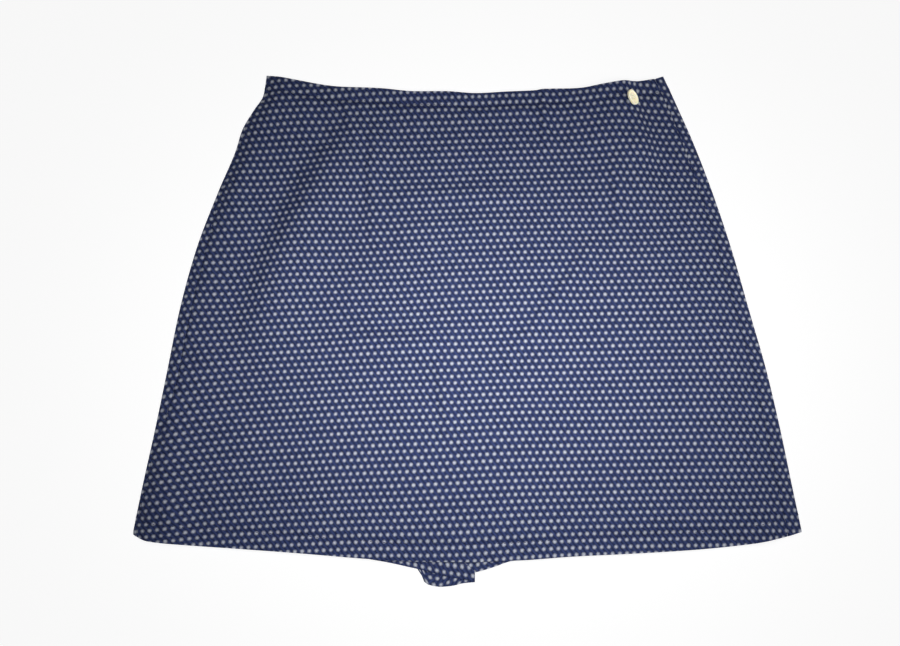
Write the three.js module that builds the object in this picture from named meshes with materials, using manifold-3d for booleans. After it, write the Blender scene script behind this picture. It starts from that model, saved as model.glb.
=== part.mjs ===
// A skort laid flat, front up: a one-piece skirt front over a pair of short shorts, closed by one button.
// Millimetres. X runs across the garment, Y from hem to waist, and Z up from the surface that it rests on.
// Right and left are the wearer's, so the right side is at -X. The origin is below the middle of the whole.
//
// The cloth lies in three layers: the two backs at the bottom, the two shorts fronts on them, and the skirt
// front on top. Each back rolls round its side fold on to the front, where the side seam joins the skirt front.

import * as THREE from 'three';
import { mergeVertices } from 'three/addons/utils/BufferGeometryUtils.js';
import Module from 'manifold-3d';

// --- Cloth and layers ---------------------------------------------------------------------------------------

const CLOTH = 1.1; // wall of one panel
const SEAM_GAP = 0.3; // between two panels, at a seam and between layers
const LAYER = CLOTH + SEAM_GAP;
const SHORTS_BOTTOM = LAYER; // underside of the shorts fronts
const SKIRT_BOTTOM = 2 * LAYER; // underside of the skirt front
const STACK = SKIRT_BOTTOM + CLOTH; // height of the flat layers together
const HEM_TURN = 18; // depth of the allowance turned up at the hem
const WAIST_TURN = 15; // depth of the allowance turned down at the waist
const TURN_RISE = 0.5; // how much thicker the wall is where it is turned
const WAIST_TUCK = 1.2; // how far the lower layers' waist edges lie below the skirt front's
const TURN_STEP = 1.5; // width of the slope between the single and the turned cloth

// --- Outline ------------------------------------------------------------------------------------------------

const HEM_HALF_WIDTH = 298;

// How far each side fold is from the centre line, from hem to waist.
const SIDE_FOLDS = [
  { y: -189, right: 298, left: 298 },
  { y: -150, right: 291.6, left: 291.5 },
  { y: -100, right: 282.6, left: 283.4 },
  { y: -45, right: 273.5, left: 273 },
  { y: 10, right: 264.6, left: 259.8 },
  { y: 68, right: 251.2, left: 245.8 },
  { y: 125, right: 232, left: 229.4 },
  { y: 164, right: 217.2, left: 216.4 },
  { y: 184, right: 211.8, left: 209 },
  { y: 204, right: 201.2, left: 201 },
  { y: 219, right: 192.4, left: 195 },
  { y: 237, right: 190, left: 187.5 },
];

// How far the side seam lies inside the fold, on the front.
const SIDE_ROLLS = [
  { y: -190, right: 3, left: 14 },
  { y: -133, right: 3.5, left: 14 },
  { y: -95, right: 7.5, left: 13.5 },
  { y: -48, right: 11.5, left: 13 },
  { y: 50, right: 11, left: 12.5 },
  { y: 95, right: 7, left: 12 },
  { y: 131, right: 3, left: 12 },
  { y: 237, right: 3, left: 10.5 },
];

// The waist edge, which dips in the middle and waves at the button.
const WAIST_EDGE = [
  { x: -190, y: 237 },
  { x: -160, y: 231.3 },
  { x: -116, y: 224.6 },
  { x: -82, y: 223.2 },
  { x: -50, y: 220.3 },
  { x: -23, y: 220.2 },
  { x: 5, y: 218.4 },
  { x: 34, y: 219.9 },
  { x: 57, y: 220.8 },
  { x: 80, y: 223 },
  { x: 103, y: 222.4 },
  { x: 125, y: 224.2 },
  { x: 145, y: 226.2 },
  { x: 160, y: 228 },
  { x: 173, y: 229.8 },
  { x: 187.5, y: 236.3 },
];

// Hem edges, from the right side fold to the centre and on to the left side fold.
const SKIRT_HEM = [
  { x: -298, y: -192 },
  { x: -284, y: -197.6 },
  { x: -256, y: -200.6 },
  { x: -202, y: -204.4 },
  { x: -149, y: -208.2 },
  { x: -95, y: -212.6 },
  { x: -47, y: -215.5 },
  { x: 0, y: -215.8 },
  { x: 47, y: -214.3 },
  { x: 90, y: -211.2 },
  { x: 144, y: -208.6 },
  { x: 197, y: -205.4 },
  { x: 251, y: -199.9 },
  { x: 298, y: -189.8 },
];

const SHORTS_FRONT_RIGHT_HEM = [
  { x: -298, y: -192 },
  { x: -272, y: -196 },
  { x: -225, y: -200.3 },
  { x: -150, y: -206.3 },
  { x: -103, y: -210.3 },
  { x: -67.5, y: -215.5 },
  { x: -44, y: -221.4 },
  { x: -32, y: -225 },
  { x: -19, y: -228.3 },
  { x: 6, y: -232.6 },
];

const SHORTS_FRONT_LEFT_HEM = [
  { x: 298, y: -189.8 },
  { x: 272, y: -194 },
  { x: 225, y: -199.3 },
  { x: 150, y: -205.8 },
  { x: 93, y: -210 },
  { x: 49, y: -214.8 },
  { x: 27, y: -220.4 },
  { x: 6.6, y: -225 },
];

const BACK_RIGHT_HEM = [
  { x: -298, y: -192 },
  { x: -272, y: -195.5 },
  { x: -225, y: -199.8 },
  { x: -178, y: -203.3 },
  { x: -131, y: -207.3 },
  { x: -84, y: -210.8 },
  { x: -52, y: -213 },
  { x: -42.5, y: -221.8 },
  { x: -41, y: -227.8 },
  { x: -39.5, y: -232.3 },
  { x: -35.5, y: -235.5 },
  { x: -24.5, y: -237.5 },
  { x: -13, y: -236.5 },
  { x: -5, y: -234.5 },
  { x: 6, y: -233.4 },
];

const BACK_LEFT_HEM = [
  { x: 298, y: -189.8 },
  { x: 272, y: -193.4 },
  { x: 248, y: -196.3 },
  { x: 225, y: -198.8 },
  { x: 187, y: -202.6 },
  { x: 140, y: -206.3 },
  { x: 84, y: -209.5 },
  { x: 49, y: -211.8 },
  { x: 27, y: -215.5 },
  { x: 6.6, y: -221 },
];

// The edges of the right and the left leg at their centre seams. The right leg's crotch extension lies across.
const CENTRE_SEAM = [
  { y: -237.5, right: 6, left: 6.6 },
  { y: -225.5, right: 6, left: 6.6 },
  { y: -220, right: -0.1, left: 1.2 },
  { y: -214, right: -4.8, left: -3.7 },
  { y: -203, right: -2.4, left: -1.6 },
  { y: -187, right: -0.15, left: 0.15 },
  { y: 237, right: -0.15, left: 0.15 },
];

// --- Folds of the skirt front -------------------------------------------------------------------------------

// Soft ridges. Each crest runs from its high end (x1, y1) to its low end (x2, y2) and dies away past them, over
// fade1 and fade2. It slopes down over a width on the garment's right and one on its left. Where ridges meet,
// the higher one counts.
const FOLDS = [
  { name: 'diagonal', x1: -119, y1: 178, fade1: 30, x2: -206, y2: -28, fade2: 30, rise: 3, right: 36, left: 46 },
  { name: 'upper', x1: -85, y1: 174, fade1: 30, x2: -97, y2: 82, fade2: 30, rise: 1.8, right: 34, left: 34 },
  { name: 'hip', x1: 103, y1: 121, fade1: 30, x2: -44, y2: 119, fade2: 30, rise: 2, right: 42, left: 42 },
  { name: 'lower', x1: 107, y1: 84, fade1: 30, x2: 59, y2: 13, fade2: 30, rise: 1.8, right: 38, left: 34 },
  { name: 'centre', x1: 14, y1: 25, fade1: 30, x2: -59, y2: -25, fade2: 30, rise: 1.8, right: 38, left: 38 },
  { name: 'button top', x1: 147, y1: 240, fade1: 10, x2: 148, y2: 209, fade2: 8, rise: 13, right: 70, left: 19 },
  { name: 'button bend', x1: 148, y1: 209, fade1: 8, x2: 162, y2: 186, fade2: 8, rise: 13, right: 70, left: 20 },
  { name: 'button tail', x1: 162, y1: 186, fade1: 8, x2: 162, y2: 158, fade2: 60, rise: 13, right: 70, left: 21 },
];
const SIDE_FADE = 22; // width beside a side seam over which every ridge dies away

// --- Button -------------------------------------------------------------------------------------------------

const BUTTON = {
  radius: 7.6,
  thickness: 2.6,
  rim: 1.6, // width of the raised rim
  dish: 0.6, // depth of the middle below the rim
  edge: 0.5, // rounding of the rim
  holeRadius: 0.9,
  holeOffset: 1.9, // of each hole from the centre
  holes: 4,
  x: 156,
  y: 211,
  tilt: THREE.MathUtils.degToRad(45), // down towards the left side fold
  lean: THREE.MathUtils.degToRad(15), // of the axis that it tilts about, from +Y towards the right
};

// --- Facets -------------------------------------------------------------------------------------------------

const SKIRT_EVEN_COLUMNS = 18; // evenly spaced, from the right side seam to the ridge under the button
const SKIRT_RIDGE_COLUMNS = [0.86, 0.885, 0.903, 0.918, 0.933, 0.948, 0.963, 0.98, 1];
// Rows shared by all panels, so that their side seams meet: heights above the hem on the centre line, closer
// where the crotch bends and on each side of the step where a turned allowance ends.
const CENTRE_LENGTH = 437;
const CROTCH_ROWS = [0, 5, 10, 14.5];
const BODY_ROWS = [26, 35, 51, 76, 103, 130, 157, 184, 212, 240, 268, 296, 323, 350, 375, 388, 400, 411];
const ROWS = [
  ...CROTCH_ROWS,
  HEM_TURN,
  HEM_TURN + TURN_STEP,
  ...BODY_ROWS,
  CENTRE_LENGTH - WAIST_TURN - TURN_STEP,
  CENTRE_LENGTH - WAIST_TURN,
  CENTRE_LENGTH,
];
const FOLD_FACETS = 4; // round a side fold
const BUTTON_FACETS = 28;
const HOLE_FACETS = 8;

// --- Materials ----------------------------------------------------------------------------------------------

const printedCotton = new THREE.MeshStandardMaterial({ color: 0x48527f, roughness: 0.85, metalness: 0 });
const creamResin = new THREE.MeshStandardMaterial({ color: 0xece6c8, roughness: 0.35, metalness: 0 });

// --- Tables as curves ---------------------------------------------------------------------------------------

// A slope between two that makes no new bumps: nought where they point opposite ways.
function gentleSlope(a, b) {
  return a * b > 0 ? (2 * a * b) / (a + b) : 0;
}

// The value in a table's column at a place between its rows, on a smooth curve through the rows.
function along(table, key, column, place) {
  const rows = [...table].sort((a, b) => a[key] - b[key]);
  const last = rows.length - 1;
  const at = THREE.MathUtils.clamp(place, rows[0][key], rows[last][key]);
  const i = Math.max(0, rows.findIndex((row) => row[key] >= at) - 1);
  const slope = (row) => (rows[row + 1][column] - rows[row][column]) / (rows[row + 1][key] - rows[row][key]);
  const start = i > 0 ? gentleSlope(slope(i - 1), slope(i)) : slope(i);
  const end = i + 1 < last ? gentleSlope(slope(i), slope(i + 1)) : slope(i);
  const step = rows[i + 1][key] - rows[i][key];
  const u = (at - rows[i][key]) / step;
  const v = 1 - u;
  return (
    rows[i][column] * (1 + 2 * u) * v * v +
    rows[i + 1][column] * (1 + 2 * v) * u * u +
    step * (start * u * v * v - end * v * u * u)
  );
}

// How far the right and left folds lie from the centre line, and the seams from the folds, at a height.
const foldAt = (name, y) => along(SIDE_FOLDS, 'y', name, y);
const rollAt = (name, y) => along(SIDE_ROLLS, 'y', name, y);

// --- Places on the garment ----------------------------------------------------------------------------------

// A share of the way across, from the right fold to the left, and a share of the way up, from a hem to the waist.
function garmentPoint(across, up, hem) {
  const hemY = along(hem, 'x', 'y', THREE.MathUtils.lerp(-HEM_HALF_WIDTH, HEM_HALF_WIDTH, across));
  const waistX = THREE.MathUtils.lerp(WAIST_EDGE[0].x, WAIST_EDGE[WAIST_EDGE.length - 1].x, across);
  const y = THREE.MathUtils.lerp(hemY, along(WAIST_EDGE, 'x', 'y', waistX), up);
  return { x: THREE.MathUtils.lerp(-foldAt('right', y), foldAt('left', y), across), y };
}

// Height of the skirt front's ridges above its flat layer.
function foldHeight(x, y) {
  const fromRight = foldAt('right', y) - rollAt('right', y) + x;
  const fromLeft = foldAt('left', y) - rollAt('left', y) - x;
  const sides = THREE.MathUtils.smoothstep(Math.min(fromRight, fromLeft), 0, SIDE_FADE);
  let height = 0;
  for (const fold of FOLDS) {
    const crest = new THREE.Vector2(fold.x2 - fold.x1, fold.y2 - fold.y1);
    const length = crest.length();
    crest.divideScalar(length);
    const place = new THREE.Vector2(x - fold.x1, y - fold.y1);
    const run = place.dot(crest);
    const side = crest.cross(place);
    const width = side < 0 ? fold.right : fold.left;
    const past = Math.max(-run / fold.fade1, (run - length) / fold.fade2, 0);
    const off = Math.abs(side) / width;
    if (off < 1 && past < 1) {
      const here = (fold.rise * (1 + Math.cos(Math.PI * off)) * (1 + Math.cos(Math.PI * past))) / 4;
      height = Math.max(height, here);
    }
  }
  return height * sides;
}

// --- Closed walls from grids of points ----------------------------------------------------------------------

// A closed body between an outer and an inner grid of points, with the same rows and columns.
function wallBetween(outer, inner) {
  const rows = outer.length;
  const columns = outer[0].length;
  const positions = [...outer.flat(), ...inner.flat()].flatMap((point) => point.toArray());
  const place = (layer, row, column) => (layer * rows + row) * columns + column;
  const faces = [];
  const quad = (a, b, c, d) => faces.push(a, b, c, a, c, d);
  for (let row = 0; row + 1 < rows; row += 1) {
    for (let column = 0; column + 1 < columns; column += 1) {
      const corners = (layer) => [
        place(layer, row, column),
        place(layer, row, column + 1),
        place(layer, row + 1, column + 1),
        place(layer, row + 1, column),
      ];
      quad(...corners(0));
      quad(...corners(1).reverse());
    }
    quad(place(0, row, 0), place(0, row + 1, 0), place(1, row + 1, 0), place(1, row, 0));
    const end = columns - 1;
    quad(place(0, row, end), place(1, row, end), place(1, row + 1, end), place(0, row + 1, end));
  }
  for (let column = 0; column + 1 < columns; column += 1) {
    quad(place(0, 0, column), place(1, 0, column), place(1, 0, column + 1), place(0, 0, column + 1));
    const end = rows - 1;
    quad(place(0, end, column), place(0, end, column + 1), place(1, end, column + 1), place(1, end, column));
  }
  const geometry = new THREE.BufferGeometry();
  geometry.setAttribute('position', new THREE.Float32BufferAttribute(positions, 3));
  geometry.setIndex(enclosedVolume(positions, faces) < 0 ? faces.reverse() : faces);
  geometry.computeVertexNormals();
  return geometry;
}

function enclosedVolume(positions, faces) {
  const corner = (index) => new THREE.Vector3().fromArray(positions, 3 * index);
  let volume = 0;
  for (let i = 0; i < faces.length; i += 3) {
    const [a, b, c] = [corner(faces[i]), corner(faces[i + 1]), corner(faces[i + 2])];
    volume += a.dot(b.cross(c)) / 6;
  }
  return volume;
}

// --- Skirt front --------------------------------------------------------------------------------------------

function skirtColumnShares() {
  const shares = [];
  for (let column = 0; column < SKIRT_EVEN_COLUMNS; column += 1) {
    shares.push((SKIRT_RIDGE_COLUMNS[0] * column) / SKIRT_EVEN_COLUMNS);
  }
  return [...shares, ...SKIRT_RIDGE_COLUMNS];
}

// A point of the skirt front, from side seam to side seam.
function skirtPoint(share, up) {
  const { y } = garmentPoint(share, up, SKIRT_HEM);
  const right = -foldAt('right', y) + rollAt('right', y) + SEAM_GAP / 2;
  const left = foldAt('left', y) - rollAt('left', y) - SEAM_GAP / 2;
  return { x: THREE.MathUtils.lerp(right, left, share), y };
}

function skirtFront() {
  const turned = (row) => row <= HEM_TURN || row >= CENTRE_LENGTH - WAIST_TURN;
  const grid = (base, rise) =>
    ROWS.map((row) =>
      skirtColumnShares().map((share) => {
        const { x, y } = skirtPoint(share, row / CENTRE_LENGTH);
        return new THREE.Vector3(x, y, base + foldHeight(x, y) + (turned(row) ? rise : 0));
      }),
    );
  return wallBetween(grid(STACK, TURN_RISE), grid(SKIRT_BOTTOM, 0));
}

// --- Shorts fronts ------------------------------------------------------------------------------------------

// Which fold, roll and seam belong to a leg: side is -1 for the right and 1 for the left.
function legEdges(side) {
  const name = side < 0 ? 'right' : 'left';
  return {
    fold: (y) => side * foldAt(name, y),
    sideSeam: (y) => side * (foldAt(name, y) - rollAt(name, y)),
    centreSeam: (y) => along(CENTRE_SEAM, 'y', name, y),
  };
}

// One row of a leg, from its outer edge to its centre seam, with a point for each row of its hem table.
function legRow(hem, up, outerEdge, centreSeam) {
  const first = hem[0].x;
  const last = hem[hem.length - 1].x;
  return hem.map(({ x: hemX }) => {
    const place = garmentPoint(0.5 + hemX / (2 * HEM_HALF_WIDTH), up, hem);
    const y = place.y - (hemX === first ? 0 : WAIST_TUCK * up);
    const share = (hemX - first) / (last - first);
    return { x: THREE.MathUtils.lerp(outerEdge(y), centreSeam(y), share), y };
  });
}

function shortsFront(hem, side) {
  const { sideSeam, centreSeam } = legEdges(side);
  const outerEdge = (y) => sideSeam(y) - side * SEAM_GAP;
  const grid = (z) =>
    ROWS.map((row) =>
      legRow(hem, row / CENTRE_LENGTH, outerEdge, centreSeam).map(({ x, y }) => new THREE.Vector3(x, y, z)),
    );
  return wallBetween(grid(SHORTS_BOTTOM + CLOTH), grid(SHORTS_BOTTOM));
}

// --- Backs --------------------------------------------------------------------------------------------------

// Each back lies flat from the centre seam to its side fold, rolls round it, and ends at the side seam on the
// front. depth is nought on the cloth's outer face, and the wall on its inner face.
function back(hem, side) {
  const { fold, sideSeam, centreSeam } = legEdges(side);
  const radius = STACK / 2;
  const flatEdge = (y) => fold(y) - side * radius;
  const grid = (depth) =>
    ROWS.map((row) => {
      const flat = legRow(hem, row / CENTRE_LENGTH, flatEdge, centreSeam).reverse();
      const points = flat.map(({ x, y }) => new THREE.Vector3(x, y, depth));
      const { x, y } = flat[flat.length - 1];
      for (let facet = 1; facet <= FOLD_FACETS; facet += 1) {
        const angle = (Math.PI * facet) / FOLD_FACETS;
        const reach = (radius - depth) * Math.sin(angle);
        points.push(new THREE.Vector3(x + side * reach, y, radius - (radius - depth) * Math.cos(angle)));
      }
      points.push(new THREE.Vector3(sideSeam(y) + (side * SEAM_GAP) / 2, y, STACK - depth));
      return points;
    });
  return wallBetween(grid(0), grid(CLOTH));
}

// --- Button -------------------------------------------------------------------------------------------------

const wasm = await Module();
wasm.setup();

function toSolid(geometry) {
  const plain = geometry.clone();
  plain.deleteAttribute('normal');
  plain.deleteAttribute('uv');
  const merged = mergeVertices(plain);
  const mesh = new wasm.Mesh({
    numProp: 3,
    vertProperties: new Float32Array(merged.attributes.position.array),
    triVerts: new Uint32Array(merged.index.array),
  });
  return new wasm.Manifold(mesh);
}

function toGeometry(solid) {
  const mesh = solid.getMesh();
  const geometry = new THREE.BufferGeometry();
  geometry.setAttribute('position', new THREE.Float32BufferAttribute(mesh.vertProperties, 3));
  geometry.setIndex([...mesh.triVerts]);
  geometry.computeVertexNormals();
  return geometry;
}

// A dished disc on its own axis Z, its middle at the origin, with holes right through it.
function buttonGeometry() {
  const { radius, thickness, rim, dish, edge, holeRadius, holeOffset, holes } = BUTTON;
  const top = thickness / 2;
  const profile = [
    [0, -top],
    [radius - 2 * edge, -top],
    [radius, -top + 2 * edge],
    [radius, top - edge],
    [radius - edge, top],
    [radius - rim, top],
    [radius - rim - dish, top - dish],
    [0, top - dish],
  ];
  const disc = new THREE.LatheGeometry(profile.map(([r, z]) => new THREE.Vector2(r, z)), BUTTON_FACETS);
  disc.rotateX(Math.PI / 2);
  let solid = toSolid(disc);
  for (let hole = 0; hole < holes; hole += 1) {
    const angle = (2 * Math.PI * (hole + 0.5)) / holes;
    const drill = new THREE.CylinderGeometry(holeRadius, holeRadius, 2 * thickness, HOLE_FACETS);
    drill.rotateX(Math.PI / 2);
    drill.translate(holeOffset * Math.cos(angle), holeOffset * Math.sin(angle), 0);
    solid = solid.subtract(toSolid(drill));
  }
  return toGeometry(solid);
}

// How high the button's middle lies, so that its underside just clears the ridge below it.
function buttonHeight(turn) {
  let highest = 0;
  for (let step = 0; step < BUTTON_FACETS; step += 1) {
    for (const reach of [0, BUTTON.radius / 2, BUTTON.radius]) {
      const angle = (2 * Math.PI * step) / BUTTON_FACETS;
      const under = new THREE.Vector3(reach * Math.cos(angle), reach * Math.sin(angle), -BUTTON.thickness / 2);
      under.applyEuler(turn);
      const cloth = STACK + TURN_RISE + foldHeight(BUTTON.x + under.x, BUTTON.y + under.y);
      highest = Math.max(highest, cloth - under.z);
    }
  }
  return highest + SEAM_GAP;
}

function button() {
  const mesh = new THREE.Mesh(buttonGeometry(), creamResin);
  mesh.rotation.set(0, BUTTON.tilt, BUTTON.lean, 'ZYX');
  mesh.position.set(BUTTON.x, BUTTON.y, buttonHeight(mesh.rotation));
  return mesh;
}

// --- Assembly -----------------------------------------------------------------------------------------------

const skort = new THREE.Group();

function add(name, mesh) {
  mesh.name = name;
  skort.add(mesh);
}

const panel = (geometry) => new THREE.Mesh(geometry, printedCotton);
add('back_right', panel(back(BACK_RIGHT_HEM, -1)));
add('back_left', panel(back(BACK_LEFT_HEM, 1)));
add('shorts_front_right', panel(shortsFront(SHORTS_FRONT_RIGHT_HEM, -1)));
add('shorts_front_left', panel(shortsFront(SHORTS_FRONT_LEFT_HEM, 1)));
add('skirt_front', panel(skirtFront()));
add('button', button());

export default skort;
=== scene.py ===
# A skort laid flat, front up, in printed cotton: a one-piece skirt front over short shorts, with one button.
# Lengths are millimetres in the tables and metres in the scene. X runs across the garment, Y from hem to
# waist and Z up. Right and left are the wearer's, so the right side is at -X.

import math

import bpy
import numpy as np
from mathutils import Euler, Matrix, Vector


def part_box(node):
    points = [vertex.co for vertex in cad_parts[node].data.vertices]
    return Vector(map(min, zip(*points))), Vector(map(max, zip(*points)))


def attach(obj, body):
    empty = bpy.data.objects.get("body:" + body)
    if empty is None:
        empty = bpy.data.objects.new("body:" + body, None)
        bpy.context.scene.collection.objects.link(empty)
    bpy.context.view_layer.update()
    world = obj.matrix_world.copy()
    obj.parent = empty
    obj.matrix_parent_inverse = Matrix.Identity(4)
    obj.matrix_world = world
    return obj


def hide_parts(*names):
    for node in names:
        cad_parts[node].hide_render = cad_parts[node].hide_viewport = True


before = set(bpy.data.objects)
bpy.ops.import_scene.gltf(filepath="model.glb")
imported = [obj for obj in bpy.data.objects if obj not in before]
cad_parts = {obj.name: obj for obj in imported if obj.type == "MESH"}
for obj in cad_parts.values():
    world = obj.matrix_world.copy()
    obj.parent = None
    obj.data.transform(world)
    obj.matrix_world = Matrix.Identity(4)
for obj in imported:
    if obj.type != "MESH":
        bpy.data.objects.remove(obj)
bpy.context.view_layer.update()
bpy.ops.object.select_all(action="DESELECT")
MM = 0.001

# --- Camera ---------------------------------------------------------------------------------------

LOOK_AT = (-15.65, -1.45, 3.9)
CAMERA_DISTANCE = 1000
CAMERA_LEAN = math.radians(9)  # from straight above, towards the hem
VIEW_WIDTH = 828  # across the picture, at the cloth
SENSOR_WIDTH = 36


def set_camera():
    data = bpy.data.cameras.new("camera")
    data.sensor_width = SENSOR_WIDTH
    data.lens = SENSOR_WIDTH * CAMERA_DISTANCE / VIEW_WIDTH
    camera = bpy.data.objects.new("camera", data)
    back_off = Vector((0, -math.sin(CAMERA_LEAN), math.cos(CAMERA_LEAN)))
    camera.location = (Vector(LOOK_AT) + back_off * CAMERA_DISTANCE) * MM
    camera.rotation_euler = (CAMERA_LEAN, 0, 0)
    bpy.context.scene.collection.objects.link(camera)
    bpy.context.scene.camera = camera


# --- Cloth and layers -----------------------------------------------------------------------------

CLOTH = 0.4  # thickness of one layer of the cotton
LAP = 0.44  # from the middle of a turned allowance to the middle of the cloth over it
SMOOTH_ANGLE = math.radians(55)  # sharper edges than this stay sharp
SEAM_GAP = 0.5  # between the skirt front and a back at their side seam
PRESSED = 0.1  # how far the skirt front presses the shorts' fronts down

# Heights of the cloth's middle where each layer lies flat
SKIRT_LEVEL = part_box("back_left")[1][2] / MM - CLOTH / 2
SHORTS_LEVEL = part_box("shorts_front_left")[1][2] / MM - CLOTH / 2 - PRESSED
BACK_LEVEL = CLOTH / 2

# --- Turned edges ---------------------------------------------------------------------------------

HEM_TURN = 15.5  # width of the allowance that is turned under and stitched down
WAIST_TURN = 13
TURN_RISE = 0.15  # how much higher the cloth lies over a turned allowance
TURN_END = 1.6  # how far past the stitches that lift reaches
TURN_SLOPE = 2.4  # and the width over which it ends
TURN_PUFF = 1.8  # how high the cloth springs up past the stitches
TURN_PUFF_RISE = 6  # the width over which it does
TURN_PUFF_FADE = 32  # and over which it settles again
GATHER = 0.8  # how much fuller it is in some places along the waist
GATHER_SPACING = 51  # between those places
GATHER_START = 12
WAIST_TUCK = 1.2  # how far the lower layers' waist edges lie below the skirt front's
TUCK_STEEPNESS = 12  # how fast that grows from the side folds inwards
HIDDEN_RELIEF = 0.4  # how much of all this is left in the shorts' fronts, which the skirt front presses flat

# How far the cloth turns down at an edge or into a seam, and over what width
HEM_DROOP = (0.3, 3)
WAIST_DROOP = (0.25, 2.5)
SIDE_SEAM_CURL = (1.8, 1.3)
CENTRE_SEAM_CURL = (0.27, 1)

# --- Outline --------------------------------------------------------------------------------------

# How far the soft cloth springs out past its solid
HEM_OUTSET = 0.9
SIDE_OUTSET = 1.35
WAIST_OUTSET = 1.7

HEM_HALF_WIDTH = 298
WAIST_RIGHT = -190
WAIST_LEFT = 187.5

# y, how far the right fold is from the centre line, and how far the left fold is
SIDE_FOLDS = [
    (-189, 298, 298),
    (-150, 291.6, 291.5),
    (-100, 282.6, 283.4),
    (-45, 273.5, 273),
    (10, 264.6, 259.8),
    (68, 251.2, 245.8),
    (125, 232, 229.4),
    (164, 217.2, 216.4),
    (184, 211.8, 209),
    (204, 201.2, 201),
    (219, 192.4, 195),
    (237, 190, 187.5),
]

# y, how far the right side seam lies inside its fold, and how far the left one does
SIDE_ROLLS = [
    (-190, 3, 14),
    (-133, 3.5, 14),
    (-95, 7.5, 13.5),
    (-48, 11.5, 13),
    (50, 11, 12.5),
    (95, 7, 12),
    (131, 3, 12),
    (237, 3, 10.5),
]

# x, y of the skirt front's waist edge
WAIST_EDGE = [
    (-190, 237),
    (-160, 231.3),
    (-116, 224.6),
    (-82, 223.2),
    (-50, 220.3),
    (-23, 220.2),
    (5, 218.4),
    (34, 219.9),
    (57, 220.8),
    (80, 223),
    (103, 222.4),
    (125, 224.8),
    (145, 227.3),
    (160, 228.8),
    (173, 231),
    (181, 233.4),
    (187.5, 236.3),
]

# x, y of each hem edge, from its side fold to the centre; the skirt front's runs right across
SKIRT_HEM = [
    (-298, -192),
    (-284, -197.6),
    (-256, -200.6),
    (-202, -204.4),
    (-149, -208.2),
    (-95, -212.6),
    (-47, -215.5),
    (0, -215.8),
    (47, -214.3),
    (90, -211.2),
    (144, -208.6),
    (197, -205.4),
    (251, -199.9),
    (298, -189.8),
]
SHORTS_FRONT_RIGHT_HEM = [
    (-298, -192),
    (-272, -196),
    (-225, -200.3),
    (-150, -206.3),
    (-103, -210.3),
    (-67.5, -215.5),
    (-44, -221.4),
    (-32, -225),
    (-19, -228.3),
    (6, -232.6),
]
SHORTS_FRONT_LEFT_HEM = [
    (298, -189.8),
    (272, -194),
    (225, -199.3),
    (150, -205.8),
    (93, -210),
    (49, -214.8),
    (27, -220.4),
    (6.6, -225),
]
BACK_RIGHT_HEM = [
    (-298, -192),
    (-272, -195.5),
    (-225, -199.8),
    (-178, -203.3),
    (-131, -207.3),
    (-84, -210.8),
    (-52, -213),
    (-42.5, -221.8),
    (-41, -227.8),
    (-39.5, -232.3),
    (-35.5, -235.5),
    (-24.5, -237.5),
    (-13, -236.5),
    (-5, -234.5),
    (6, -233.4),
]
BACK_LEFT_HEM = [
    (298, -189.8),
    (272, -193.4),
    (248, -196.3),
    (225, -198.8),
    (187, -202.6),
    (140, -206.3),
    (84, -209.5),
    (49, -211.8),
    (27, -215.5),
    (6.6, -221),
]

# y, x of the right leg's edge at the centre seam, and x of the left leg's
CENTRE_SEAM = [
    (-237.5, 6, 6.6),
    (-225.5, 6, 6.6),
    (-220, -0.1, 1.2),
    (-214, -4.8, -3.7),
    (-203, -2.4, -1.6),
    (-187, -0.15, 0.15),
    (237, -0.15, 0.15),
]

# --- Creases --------------------------------------------------------------------------------------

# The ridge that the fastened button holds up, row by row. It is steep on the garment's left, where the cloth
# comes down close to the side seam.
# y, x of the crest, its height, and its width on the garment's right and on its left
BUTTON_RIDGE = [
    (244, 145, 9.8, 62, 20),
    (228, 146, 10.5, 66, 19),
    (212, 149.5, 10.4, 70, 18),
    (196, 155, 10.6, 70, 20),
    (180, 160, 11, 70, 22),
    (164, 162, 11, 70, 25),
    (148, 161, 9.5, 68, 27),
    (132, 160, 7.7, 62, 29),
    (116, 160, 5.6, 56, 32),
    (96, 158, 2, 50, 34),
    (70, 156, 0, 46, 34),
]
RIDGE_FOOT = 0.22  # share of the ridge's height, on its left, that is a low and wide foot
RIDGE_FOOT_WIDTH = 2.2  # how many times wider the foot is

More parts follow.
